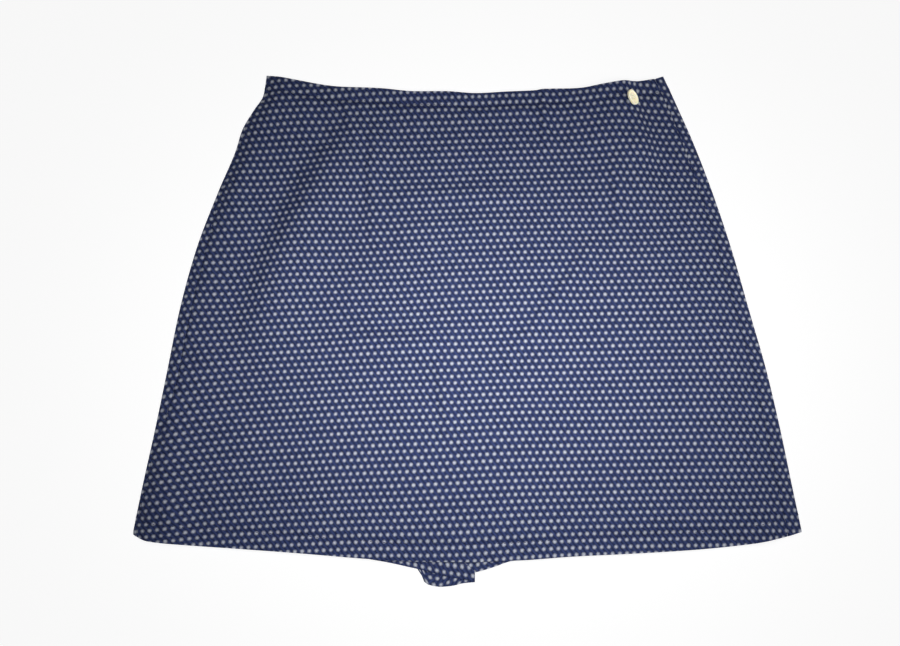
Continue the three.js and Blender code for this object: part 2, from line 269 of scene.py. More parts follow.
# Soft ridges. Each runs from one end to the other, bowed to its left in the middle, and is highest at a
# share of its length.
# x and y of the start, x and y of the end, bow, rise, width to its right, width to its left, highest at
SKIRT_CREASES = [
    (-94, 192, -199, -50, -17, 8.4, 30, 52, 0.42),
    (-86, 190, -87, 60, -3, 3.6, 8, 24, 0.45),
    (72, 230, 75, 158, 0, 4, 6, 7, 0.5),
    (138, 160, 141, 60, 2, 3.8, 9, 12, 0.45),
    (126, 88, 30, -40, 6, 4.6, 12, 17, 0.5),
    (-166, -14, -4, -18, -4, 5.6, 26, 17, 0.6),
    (-29, -34, -16, -110, 2, 4.4, 9, 14, 0.5),
    (-72, 119, 66, 117, 0, 2.9, 12, 18, 0.5),
    (-74, 94, 56, 92, 0, 1.6, 12, 9, 0.5),
    (-116, 214, -107, 178, 0, 2.4, 6, 7, 0.5),
    (-232, 172, -219, 96, 0, 3.2, 14, 24, 0.5),
    (-262, -32, -206, -46, 2, 3.4, 13, 16, 0.5),
    (-250, -104, -130, -112, -4, 2, 26, 20, 0.5),
    (30, -84, 118, -96, 4, 2.3, 14, 10, 0.5),
    (150, -64, 262, -82, 4, 2.4, 18, 12, 0.5),
    (196, 40, 250, -64, 6, 2.4, 16, 10, 0.5),
    (-2, -110, -4, -206, 0, 1.4, 9, 9, 0.5),
    (120, -132, 214, -150, 3, 2.2, 18, 12, 0.5),
    (-200, -150, -120, -168, 3, 2.4, 20, 14, 0.4),
    (92, 186, 150, 184, 0, 3.2, 26, 26, 0.6),
    (-262, -150, -270, -206, 0, 3.6, 14, 34, 0.62),
    (259, -150, 267, -206, 0, 3.6, 34, 14, 0.62),
]
BACK_CREASES = [
    (-178, 150, -236, -20, 5, 0.6, 15, 30, 0.45),
    (-70, 170, -128, 40, -4, 0.5, 22, 14, 0.5),
    (-230, -60, -90, -96, 8, 0.6, 18, 24, 0.4),
    (-140, -128, -40, -150, 4, 0.45, 20, 16, 0.5),
    (52, 180, 96, 60, -6, 0.6, 14, 26, 0.5),
    (190, 120, 150, -30, 5, 0.6, 24, 14, 0.45),
    (40, -20, 190, -58, 8, 0.55, 20, 16, 0.55),
    (86, -120, 230, -140, -5, 0.5, 18, 22, 0.5),
]
SHORTS_CREASES = [
    (-150, 120, -210, -40, 4, 0.5, 16, 26, 0.5),
    (-60, 10, -110, -130, 4, 0.45, 18, 24, 0.5),
    (60, 130, 120, -20, 4, 0.5, 20, 22, 0.5),
    (90, -90, 210, -120, 4, 0.45, 18, 20, 0.5),
]
CREASE_ENDS = 0.85  # below one, a crease keeps its height nearer to its ends
SIDE_FADE = 20  # width beside a side seam over which the creases die away
SKIRT_LOFT = 0.9  # how far the skirt front springs up off the shorts
DEEPEST_DIP = -1.3  # where the layers below stop it from sinking
DIP_SOFTNESS = 0.5  # how gradually they do
HOLD_HEIGHT = 6  # the ridge's height from which the button holds the cloth, so that it can't spring up more

# The slight unevenness of cloth laid by hand, as waves: how x and y are stretched, a seed, height and length
SKIRT_WAVES = [
    (1, 1.6, 4, 0.36, 60),
    (0.3, 1, 7, 0.3, 21),
]
WAVE_COUNT = 9
WAVE_LENGTHS = (0.6, 1.7)  # shortest and longest, as shares of the length

# At the sides, the stack of layers rounds down to each fold.
SIDE_ROUND = 18  # width over which it does
FOLD_RADIUS = 0.4  # of the folded cloth's middle
FOLD_TOP = BACK_LEVEL + 2 * FOLD_RADIUS
TIGHTEST_FOLD = 0.06  # the inner radius of the allowance inside the fold
SHORTS_SINK = 0.4  # how far the shorts' fronts lie below the fold's top at the sides

# How much the springy fold and seam puff up the cloth beside them: y, on the right, and on the left
SIDE_PUFFS = [
    (-200, 3.6, 3),
    (-150, 3, 2.5),
    (-60, 2.4, 2.2),
    (40, 3, 2.2),
    (120, 3, 2),
    (170, 2, 3.4),
    (200, 1.6, 4.6),
    (237, 1, 4.2),
]
PUFF_REACH = 62
PUFF_STEEPNESS = 3.6  # how much faster a puff rises from the fold than it dies away

# --- Print ----------------------------------------------------------------------------------------

DOT_PITCH = 6.39  # along a row
ROW_PITCH = 6
ROW_RISE = -0.0384  # the rows climb a little towards the garment's left
PRINT_LEAN = -0.0098  # and the dots above each other lean towards the garment's left at the waist
PRINT_START = (-15.2, 56.85)  # of the skirt front's print, along and across its rows
DOT_EDGE = (0.98, 3.04)  # where a dot starts to fade and where it has gone, with its unevenness added
DOT_VARIETY = 0.2
DOT_RAGGEDNESS = 1.0
WORN_MIDDLE = (0.15, 0.5)  # how far from its middle a dot is fully worn, and from where it isn't
WORN_STRENGTH = 0.93  # what is left of its colour there

# How the cloth's spreading bends the print along and across its rows, per millimetre: by x * x, and by x * y
SPREAD_ALONG = (-1.15e-5, 2.5e-5)
SPREAD_ACROSS = (5.5e-5, -1.8e-5)

# Where the cloth was pulled out of true as it was laid: x, y, reach along x, reach along y, and how far the
# print is moved along and across its rows
PRINT_DRIFTS = [
    (-222, 246, 95, 66, 10.5, -4.2),
    (-70, 240, 90, 52, 3.2, -4.4),
    (-60, 165, 95, 34, 1.2, -0.4),
    (60, 246, 70, 50, 1.5, -2.6),
    (160, 244, 60, 50, 1.5, -3.2),
    (175, 120, 50, 55, 0, 0.9),
    (192, 200, 34, 40, 0.3, 2.6),
    (215, 150, 30, 30, 1.6, 0.8),
    (-175, -118, 55, 45, -0.8, 0.1),
    (175, -130, 60, 45, 0.8, 0.2),
    (-86, 122, 28, 38, 1, -0.5),
    (-198, 40, 38, 80, 0, 1),
    (-215, 45, 24, 30, -0.9, 0),
    (-140, -15, 40, 25, 0.6, 0.4),
    (-60, 25, 35, 30, -0.4, 0.7),
    (262, 20, 20, 110, 1.2, 0.5),
    (130, 85, 40, 35, 0.6, 0.8),
    (-275, -182, 30, 16, 0.2, 1.5),
    (282, -165, 26, 30, 1.3, -0.9),
    (-190, 140, 45, 40, -0.8, 1),
    (-100, 80, 60, 60, -0.5, 1),
    (-170, -60, 60, 60, -0.9, -0.3),
    (-305, -120, 50, 100, 9.6, 5.4),
    (-90, -165, 50, 30, 0.9, 0.2),
    (305, -110, 52, 130, 4, 0.4),
    (240, 122, 26, 40, 4, 0),
    (180, 10, 45, 50, -0.9, 0),
    (190, 80, 36, 70, 0.8, 0),
    (-245, -80, 40, 75, 2, 0.9),
    (-91, 100, 24, 26, 1.4, 0),
    (-209, 57, 28, 40, -1.4, 0),
    (-91, -91, 50, 60, 0, -0.8),
    (-165, 189, 24, 24, 1.2, -1.2),
    (200, -90, 50, 50, 0.9, -0.1),
    (40, -120, 40, 50, -0.8, -0.2),
    (-225, 45, 38, 46, 0, 2),
    (-10, -215, 62, 30, 0.4, 3.2),
    (-60, -165, 42, 40, 1.2, 0.6),
    (40, -90, 62, 42, 0, -1.2),
]

# Each leg piece is cut so that its print follows its hem near the crotch, and lies on its own rows elsewhere:
# how far its print is moved along and across its rows
LEG_PRINTS = {
    "back_right": (4.5, 1.1),
    "back_left": (3.4, 0.6),
    "shorts_front_right": (4.95, 3.75),
    "shorts_front_left": (0.4, 1.9),
}
STRAIGHT_HEM = -205  # y of a leg's hem if it were straight
HEM_BEND_REACH = 60  # how far inside the hem its print still follows the hem's bend

# How far the backs' print misses the skirt front's at the right (-1) and left (1) side seams
STRIP_PRINTS = {-1: (0.7, 0.5), 1: (-0.6, 0.4)}

# --- Stitching ------------------------------------------------------------------------------------

STITCH_LENGTH = 2.5
STITCH_SPACING = 3
STITCH_WIDTH = 0.52
STITCH_FLATNESS = 1.2  # how many times wider than high a stitch is
STITCH_ENDS = 0.4  # share of its length, from its middle, past which it dives into the cloth
STITCH_DIVE = 0.45  # how deep, as a share of its width
STITCH_LIFT = 0.06  # how far its middle lies above the cloth's face, as a share of its width
STITCH_FLOOR = 0.9  # and the least height over the floor, as such a share, so that it stays clear of it
STITCH_GROOVE = 0.8  # how far the thread pulls the cloth in
GROOVE_WIDTH = 2.1
BACK_GROOVE = 0.45  # share of the groove that shows on the backs

PUCKER_HEIGHT = 0.22
PUCKER_SPACING = 11
PUCKER_REACH = {"hem": 9, "waist": 10}  # from the stitches, on each side of them
PUCKER_DRIFT = (1.7, 23)  # how the puckers' spacing wanders: by what angle, and over what length
PUCKER_CHANGE = (0.4, 37)  # how their height does: by what share, and over what length


# --- Curves through tables ------------------------------------------------------------------------


def along(table, place, column=1):
    """A column's value at a place in the first column, on a smooth curve that adds no bumps of its own."""
    rows = sorted(table)
    x = np.array([row[0] for row in rows], float)
    y = np.array([row[column] for row in rows], float)
    slope = np.diff(y) / np.diff(x)
    product = slope[1:] * slope[:-1]
    total = np.where(product > 0, slope[1:] + slope[:-1], 1)
    tangent = np.concatenate(([slope[0]], np.where(product > 0, 2 * product / total, 0), [slope[-1]]))
    place = np.clip(place, x[0], x[-1])
    i = np.clip(np.searchsorted(x, place) - 1, 0, len(x) - 2)
    step = x[i + 1] - x[i]
    u = (place - x[i]) / step
    v = 1 - u
    level = y[i] * (1 + 2 * u) * v * v + y[i + 1] * (1 + 2 * v) * u * u
    return level + step * (tangent[i] * u * v * v - tangent[i + 1] * v * u * u)


def mix(a, b, share):
    return a + (b - a) * share


def smooth(share):
    share = np.clip(share, 0, 1)
    return share * share * (3 - 2 * share)


def hill(share):
    """One in the middle, falling softly to nought at one on either side."""
    return np.where(np.abs(share) < 1, (1 + np.cos(np.pi * np.clip(share, -1, 1))) / 2, 0)


# --- Places on the garment ------------------------------------------------------------------------


def fold_at(side, y):
    """X of a side fold: side is -1 for the garment's right and 1 for its left."""
    return side * (along(SIDE_FOLDS, y, 1 if side < 0 else 2) + SIDE_OUTSET)


def seam_at(side, y):
    """X of a side seam."""
    return fold_at(side, y) - side * along(SIDE_ROLLS, y, 1 if side < 0 else 2)


def from_folds(x, y):
    """How far a place lies inside the nearer side fold."""
    return np.minimum(x - fold_at(-1, y), fold_at(1, y) - x)


def rounding(x, y):
    """The share of the full height at a place near a side fold."""
    return 1 - (1 - np.clip(from_folds(x, y) / SIDE_ROUND, 0, 1)) ** 2


def puff(x, y):
    """How far the side folds puff up the cloth inside them."""
    height = 0
    for column, inside in ((1, x - fold_at(-1, y)), (2, fold_at(1, y) - x)):
        share = inside / PUFF_REACH
        height = height + along(SIDE_PUFFS, y, column) * smooth(share * PUFF_STEEPNESS) * smooth(1 - share)
    return height


def creases_at(table, x, y):
    """The height of all of a table's creases together."""
    height = np.zeros_like(x)
    for x1, y1, x2, y2, bow, rise, width, far_width, highest in table:
        length = math.hypot(x2 - x1, y2 - y1)
        ahead = ((x2 - x1) / length, (y2 - y1) / length)
        run = ((x - x1) * ahead[0] + (y - y1) * ahead[1]) / length
        side = ahead[0] * (y - y1) - ahead[1] * (x - x1)
        inside = np.clip(run, 0, 1)
        side = side - 4 * bow * inside * (1 - inside)
        strength = np.sin(np.pi * inside ** (math.log(0.5) / math.log(highest))) ** CREASE_ENDS
        height += rise * strength * hill(side / np.where(side < 0, width, far_width))
    return height


def button_ridge_at(x, y):
    """The height of the ridge that the button holds up."""
    off = x - along(BUTTON_RIDGE, y, 1)
    width = np.where(off < 0, along(BUTTON_RIDGE, y, 3), along(BUTTON_RIDGE, y, 4))
    foot = np.where(off < 0, 0, RIDGE_FOOT)
    shape = (1 - foot) * hill(off / width) + foot * hill(off / (RIDGE_FOOT_WIDTH * width))
    return along(BUTTON_RIDGE, y, 2) * shape


def unevenness(x, y, seed, size, reach):
    """Waves of many directions and lengths, added together."""
    chance = np.random.default_rng(seed)
    total = np.zeros_like(x)
    for _ in range(WAVE_COUNT):
        turn = chance.uniform(0, np.pi)
        length = reach * chance.uniform(*WAVE_LENGTHS)
        start = chance.uniform(0, 2 * np.pi)
        total += np.sin(2 * np.pi * (x * math.cos(turn) + y * math.sin(turn)) / length + start)
    return size * total / math.sqrt(WAVE_COUNT)


def side_fade(x, y):
    """Nought at the side seams, and one away from them."""
    inside = np.minimum(x - seam_at(-1, y), seam_at(1, y) - x)
    return smooth(inside / SIDE_FADE)


def looseness(x, y):
    """One where the skirt front is free to spring up, and nought where the button holds it."""
    return 1 - np.clip(button_ridge_at(x, y) / HOLD_HEIGHT, 0, 1)


def skirt_relief(x, y):
    """How far the skirt front rises from where it would lie flat, apart from its turned edges."""
    height = creases_at(SKIRT_CREASES, x, y)
    for stretch_x, stretch_y, seed, size, reach in SKIRT_WAVES:
        height += unevenness(stretch_x * x, stretch_y * y, seed, size, reach)
    above = height - DEEPEST_DIP
    height = DEEPEST_DIP + (above + np.sqrt(above * above + DIP_SOFTNESS**2)) / 2
    height = height + SKIRT_LOFT * looseness(x, y) + button_ridge_at(x, y)
    return height * side_fade(x, y) + puff(x, y)


# --- Rows of a panel, from its hem allowance to its waist allowance -------------------------------

BODY_ROWS = 152
FOLD_STEPS = 5

# Rows of the mesh, which are close together where the cloth bends
ALLOWANCE_END_ROWS = (0, 1.5, 3.5, 6)  # on an allowance, from its own end
ALLOWANCE_ROWS = (5, 3.2, 1.9, 1)  # on an allowance, inside the edge
HEM_ROWS = (1, 1.9, 3.2, 5, 7, 9, 11, 12.6, 13.8, 14.6, 15.1)  # on the panel, inside the hem
WAIST_ROWS = (9.2, 7.6, 6, 4.5, 3, 1.8, 1)  # on the panel, inside the waist
HEM_STITCH_ROWS = (0, 0.6, 1.2, 2.2, 3.6, 5.4)  # past the hem's stitches
WAIST_STITCH_ROWS = (5, 3.4, 2, 1.2, 0.6, 0, -0.6, -1.2, -2.2)  # past the waist's stitches, and short of them


def turned_edge(turn):
    """Distances inside an edge and heights over the panel, from the allowance's end round to the panel."""
    flat = [turn - back_off for back_off in ALLOWANCE_END_ROWS] + list(ALLOWANCE_ROWS)
    radius = LAP / 2
    middle = radius + CLOTH / 2
    rows = [(offset, -LAP) for offset in flat]
    for step in range(FOLD_STEPS + 1):
        angle = math.pi * (step / FOLD_STEPS - 0.5)
        rows.append((middle - radius * math.cos(angle), radius * math.sin(angle) - radius))
    return rows


def panel_rows():
    """For each row: a share of the panel's length, an offset from there, and its height over the panel's."""
    hem = [(0, offset, drop) for offset, drop in turned_edge(HEM_TURN)]
    hem += [(0, offset, 0) for offset in HEM_ROWS]
    hem += [(0, HEM_TURN + offset, 0) for offset in HEM_STITCH_ROWS]
    hem_end = HEM_TURN + HEM_STITCH_ROWS[-1]
    waist_end = WAIST_TURN + WAIST_STITCH_ROWS[0]
    body = []
    for row in range(1, BODY_ROWS):
        share = row / BODY_ROWS
        body.append((share, hem_end - (hem_end + waist_end) * share, 0))
    waist = [(1, -WAIST_TURN - offset, 0) for offset in WAIST_STITCH_ROWS]
    waist += [(1, -offset, 0) for offset in WAIST_ROWS]
    waist += [(1, -offset, drop) for offset, drop in reversed(turned_edge(WAIST_TURN))]
    return np.array(hem + body + waist)


ROWS = panel_rows()
ROW_DROP = ROWS[:, 2:3]
TURNED_UNDER = ROW_DROP < -LAP / 2


def row_of(share, offset):
    """Which row lies on the panel itself at an offset from a share of its length."""
    return ROWS.tolist().index([share, offset, 0])


STITCH_ROWS = {"hem": row_of(0, HEM_TURN), "waist": row_of(1, -WAIST_TURN)}


def panel_places(across, hem, tuck=0):
    """Y and the distances inside the hem and the waist, for each row and each share across the garment."""
    hem_y = along(hem, mix(-HEM_HALF_WIDTH, HEM_HALF_WIDTH, across)) - HEM_OUTSET
    waist_y = along(WAIST_EDGE, mix(WAIST_RIGHT, WAIST_LEFT, across)) + WAIST_OUTSET - tuck
    length = waist_y - hem_y
    inside_hem = ROWS[:, :1] * length + ROWS[:, 1:2]
    return hem_y + inside_hem, inside_hem, length - inside_hem


def stitch_groove(inside_hem, inside_waist):
    """How far the stitching pulls the cloth in beside its two rows."""
    hem = np.exp(-(((inside_hem - HEM_TURN) / GROOVE_WIDTH) ** 2))
    waist = np.exp(-(((inside_waist - WAIST_TURN) / GROOVE_WIDTH) ** 2))
    return STITCH_GROOVE * (hem + waist)


def edge_drop(inside, depth, reach):
    """How far the cloth turns down near an edge or a seam."""
    return depth * np.exp(-np.maximum(inside, 0) / reach)


def puff_past(stitches):
    """How far the cloth springs up at a distance past its stitches."""
    return TURN_PUFF * smooth(stitches / TURN_PUFF_RISE) * np.exp(-np.maximum(stitches, 0) / TURN_PUFF_FADE)


def puckers(x, past_hem, past_waist):
    """The uneven little waves that the stitching draws up across itself."""
    turn, turn_length = PUCKER_DRIFT
    change, change_length = PUCKER_CHANGE
    wave = np.sin(2 * np.pi * x / PUCKER_SPACING + turn * np.sin(x / turn_length))
    wave = wave * (1 - change + change * np.sin(x / change_length + 1))
    near = hill(past_hem / PUCKER_REACH["hem"]) + hill(past_waist / PUCKER_REACH["waist"])
    return PUCKER_HEIGHT * wave * near


def turned_relief(x, inside_hem, inside_waist, loose=1):
    """What turned edges and stitching do to a panel's height, where loose is how free it is to spring up."""
    past_hem = inside_hem - HEM_TURN
    past_waist = inside_waist - WAIST_TURN
    rise = smooth((TURN_END - past_hem) / TURN_SLOPE) + smooth((TURN_END - past_waist) / TURN_SLOPE)
    fuller = np.maximum(np.sin(2 * np.pi * (x + GATHER_START) / GATHER_SPACING), 0) ** 3
    puffs = puff_past(past_hem) + puff_past(past_waist) * (1 + GATHER * fuller)
    height = TURN_RISE * rise + loose * puffs + puckers(x, past_hem, past_waist)
    height = height - stitch_groove(inside_hem, inside_waist)
    return height - edge_drop(inside_hem, *HEM_DROOP) - edge_drop(inside_waist, *WAIST_DROOP)


# --- The print's own coordinates ------------------------------------------------------------------


def print_drift(x, y):
    """How far the print is moved along and across its rows at each place."""
    along_row = np.zeros_like(x)
    across_row = np.zeros_like(x)
    for x0, y0, reach_x, reach_y, move_u, move_v in PRINT_DRIFTS:
        weight = np.exp(-(((x - x0) / reach_x) ** 2) - ((y - y0) / reach_y) ** 2)
        along_row += move_u * weight
        across_row += move_v * weight
    return along_row, across_row


def ridge_take_up(x, y):
    """The extra cloth that the button's ridge takes up between a row's first place and each of the others."""
    step = np.diff(x, axis=1)
    climb = np.diff(button_ridge_at(x, y), axis=1)
    extra = np.cumsum(np.hypot(step, climb) - np.abs(step), axis=1)
    return np.concatenate((np.zeros((len(x), 1)), extra), axis=1)


def skirt_print(x, y, inside_hem, inside_waist):
    """The print on the skirt front and on the backs' front strips, which runs on round the turned edges."""
    drift_u, drift_v = print_drift(x, y)
    u = x + ridge_take_up(x, y) + PRINT_LEAN * y + SPREAD_ALONG[0] * x * x + SPREAD_ALONG[1] * x * y + drift_u
    v = y + ROW_RISE * x + SPREAD_ACROSS[0] * x * x + SPREAD_ACROSS[1] * x * y + drift_v
    edge_y = np.where(inside_hem < inside_waist, y - inside_hem, y + inside_waist)
    v = np.where(TURNED_UNDER, 2 * edge_y - y + ROW_RISE * x, v)
    return np.stack((u + PRINT_START[0], v + PRINT_START[1]), axis=-1)


# --- Meshes from grids of points ------------------------------------------------------------------


def choose(piece):
    """Select one piece only, and make it the active one."""
    bpy.ops.object.select_all(action="DESELECT")
    piece.select_set(True)
    bpy.context.view_layer.objects.active = piece


def cloth_piece(name, points, print_places):
    """A sheet of cloth through a grid of points, with the print's coordinates at each."""
    rows, columns = points.shape[:2]
    index = np.arange(rows * columns).reshape(rows, columns)
    corners = (index[:-1, :-1], index[:-1, 1:], index[1:, 1:], index[1:, :-1])
    faces = np.stack(corners, axis=-1).reshape(-1, 4)
    mesh = bpy.data.meshes.new(name)
    mesh.from_pydata((points.reshape(-1, 3) * MM).tolist(), [], faces.tolist())
    layer = mesh.uv_layers.new(name="Cloth")
    layer.data.foreach_set("uv", (print_places.reshape(-1, 2)[faces.ravel()] * MM).ravel())
    piece = bpy.data.objects.new(name, mesh)
    bpy.context.scene.collection.objects.link(piece)
    wall = piece.modifiers.new("wall", "SOLIDIFY")
    wall.thickness = CLOTH * MM
    wall.offset = 0
    choose(piece)
    bpy.ops.object.modifier_apply(modifier=wall.name)
    bpy.ops.object.shade_smooth_by_angle(angle=SMOOTH_ANGLE)
    return piece


# --- Skirt front ----------------------------------------------------------------------------------

SKIRT_COLUMNS = 222  # at even distances, from FIRST_COLUMN to the same share from the other seam
FIRST_COLUMN = 0.0085
SEAM_COLUMNS = (0, 0.0008, 0.0018, 0.0033, 0.0056)  # and closer ones beside each seam, where the cloth curls
SEAM_ACROSS = {-1: 0.006, 1: 0.974}  # where each side seam meets the waist and the hem, as a share across


def skirt_front():
    even = np.linspace(FIRST_COLUMN, 1 - FIRST_COLUMN, SKIRT_COLUMNS)
    edge = np.array(SEAM_COLUMNS)
    shares = np.concatenate((edge, even, 1 - edge[::-1]))[None, :]
    y, inside_hem, inside_waist = panel_places(mix(SEAM_ACROSS[-1], SEAM_ACROSS[1], shares), SKIRT_HEM)
    right = seam_at(-1, y) + SEAM_GAP / 2
    left = seam_at(1, y) - SEAM_GAP / 2
    x = mix(right, left, shares)
    full = rounding(x, y)
    z = mix(FOLD_TOP, SKIRT_LEVEL, full) + skirt_relief(x, y) + ROW_DROP
    z += turned_relief(x, inside_hem, inside_waist, looseness(x, y)) * full
    z -= edge_drop(np.minimum(x - right, left - x), *SIDE_SEAM_CURL) * full * full
    return np.stack((x, y, z), axis=-1), skirt_print(x, y, inside_hem, inside_waist)


# --- Shorts fronts and backs ----------------------------------------------------------------------

LEG_COLUMNS = 96
CENTRE_LAP = 0.5  # how far each leg's edge reaches over the centre seam, where both dip
TURN_SHARES = (0.02, 0.25, 0.5, 0.75, 1)  # columns round a side fold, as shares of a half turn
STRIP_STEPS = 9  # columns on the back's strip between a side fold and its seam


def leg_print(name, side, x, y, inside_hem):
    """The print on a leg piece, whose rows follow its hem near the crotch."""
    move_u, move_v = LEG_PRINTS[name]
    hem_bend = along(SHORTS_FRONT_RIGHT_HEM if side < 0 else SHORTS_FRONT_LEFT_HEM, x) - STRAIGHT_HEM
    v = y - hem_bend * np.exp(-((inside_hem / HEM_BEND_REACH) ** 2))
    v = np.where(TURNED_UNDER, v - 2 * inside_hem, v)
    return np.stack((x + move_u, v + ROW_RISE * x + move_v), axis=-1)


def leg_grid(hem, side, outer, outer_across):
    """X, Y and distances inside the hem, the waist and the centre seam, from that seam to the outer edge."""
    share = np.linspace(1, 0, LEG_COLUMNS)[None, :]
    across = mix(outer_across, 0.5 + hem[-1][0] / (2 * HEM_HALF_WIDTH), share)
    tuck = WAIST_TUCK * smooth(TUCK_STEEPNESS * (1 - np.abs(2 * across - 1)))
    y, inside_hem, inside_waist = panel_places(across, hem, tuck)
    centre = along(CENTRE_SEAM, y, 1 if side < 0 else 2) - side * CENTRE_LAP
    x = mix(outer(y), centre, share)
    return x, y, inside_hem, inside_waist, np.abs(x - centre)


def shorts_front(name, hem, side):
    x, y, inside_hem, inside_waist, inside_centre = leg_grid(
        hem, side, lambda y: seam_at(side, y) - side * 2 * SEAM_GAP, SEAM_ACROSS[side]
    )
    full = rounding(x, y)
    z = mix(FOLD_TOP - SHORTS_SINK, SHORTS_LEVEL, full) + ROW_DROP
    z += creases_at(SHORTS_CREASES, x, y) * side_fade(x, y)
    z += HIDDEN_RELIEF * turned_relief(x, inside_hem, inside_waist, HIDDEN_RELIEF) * full
    z -= edge_drop(inside_centre, *CENTRE_SEAM_CURL)
    return np.stack((x, y, z), axis=-1), leg_print(name, side, x, y, inside_hem)


def round_the_fold(edge, side):
    """From a back's flat part, half a turn up round the side fold, and how far that is from the top."""
    turn = np.array(TURN_SHARES)[None, :] * np.pi
    radius = np.maximum(FOLD_RADIUS + ROW_DROP, TIGHTEST_FOLD)
    x = edge[..., 0] + side * radius * np.sin(turn)
    y = np.broadcast_to(edge[..., 1], x.shape)
    z = edge[..., 2] + ROW_DROP + FOLD_RADIUS - radius * np.cos(turn)
    return np.stack((x, y, z), axis=-1), radius * (np.pi - turn)


def front_strip(start, side):
    """A back's narrow strip on the garment's front, from the side fold to the side seam."""
    # The columns are closer together beside the fold and the seam.
    share = 0.5 - 0.5 * np.cos(np.pi * np.linspace(0, 1, STRIP_STEPS + 1)[None, 1:])
    y, inside_hem, inside_waist = panel_places(mix((side + 1) / 2, SEAM_ACROSS[side], share), SKIRT_HEM)
    seam = seam_at(side, y) + side * SEAM_GAP / 2
    x = mix(start, seam, share)
    full = rounding(x, y)
    z = mix(FOLD_TOP, SKIRT_LEVEL, full) + puff(x, y) + ROW_DROP
    z += turned_relief(x, inside_hem, inside_waist) * smooth(share * 2) * full
    z -= edge_drop(np.abs(x - seam), *SIDE_SEAM_CURL) * full * full
    places = skirt_print(x, y, inside_hem, inside_waist) + np.array(STRIP_PRINTS[side])
    return np.stack((x, y, z), axis=-1), places


def back(name, hem, side):
    """A back, flat from its centre seam, then round the side fold and up on to the front at the side seam."""
    x, y, inside_hem, inside_waist, inside_centre = leg_grid(
        hem, side, lambda y: fold_at(side, y) - side * (FOLD_RADIUS + CLOTH / 2), (side + 1) / 2
    )
    z = BACK_LEVEL + BACK_GROOVE * stitch_groove(inside_hem, inside_waist) - ROW_DROP
    z += creases_at(BACK_CREASES, x, y) * side_fade(x, y) + edge_drop(inside_centre, *CENTRE_SEAM_CURL)
    flat = np.stack((x, y, z), axis=-1)
    arc, from_top = round_the_fold(flat[:, -1:, :], side)
    strip, strip_places = front_strip(arc[:, -1:, 0], side)
    # The strip's print runs on round the fold, and the flat part's own begins just underneath.
    arc_places = strip_places[:, :1, :] + np.stack((side * from_top, 0 * from_top), axis=-1)
    flat_places = leg_print(name, side, x, y, inside_hem)
    points = np.concatenate((flat, arc, strip), axis=1)
    return points, np.concatenate((flat_places, arc_places, strip_places), axis=1)


# --- Materials ------------------------------------------------------------------------------------

MATH = "ShaderNodeMath"
VECTOR_MATH = "ShaderNodeVectorMath"
MAP_RANGE = "ShaderNodeMapRange"
MIX = "ShaderNodeMix"
NOISE = "ShaderNodeTexNoise"
WAVE = "ShaderNodeTexWave"
MULTIPLY = {"operation": "MULTIPLY"}
MULTIPLY_ADD = {"operation": "MULTIPLY_ADD"}
SUBTRACT = {"operation": "SUBTRACT"}
SOFT_STEP = {"interpolation_type": "SMOOTHSTEP"}
FLAT_NOISE = {"noise_dimensions": "2D"}
COLOUR = {"data_type": "RGBA"}


def linear(code):
    """A colour for the shader from its sRGB hex value."""
    levels = [int(code[i : i + 2], 16) / 255 for i in (1, 3, 5)]
    return [v / 12.92 if v <= 0.04045 else ((v + 0.055) / 1.055) ** 2.4 for v in levels] + [1]


def add_node(tree, kind, settings=None, inputs=None):
    """A node with its settings, and inputs that are either values or other nodes' outputs."""
    node = tree.nodes.new(kind)
    for key, value in (settings or {}).items():
        setattr(node, key, value)
    for key, value in (inputs or {}).items():
        if isinstance(value, bpy.types.NodeSocket):
            tree.links.new(value, node.inputs[key])
        else:
            node.inputs[key].default_value = value
    return node


def new_material(name, **surface_values):
    """A material with one shader, and that shader's sockets that are the same all over the surface."""
    material = bpy.data.materials.new(name)
    material.use_nodes = True
    tree = material.node_tree
    tree.nodes.clear()
    surface = add_node(tree, "ShaderNodeBsdfPrincipled")
    for socket, value in surface_values.items():
        surface.inputs[socket.replace("_", " ")].default_value = value
    add_node(tree, "ShaderNodeOutputMaterial", inputs={"Surface": surface.outputs[0]})
    return material, tree, surface


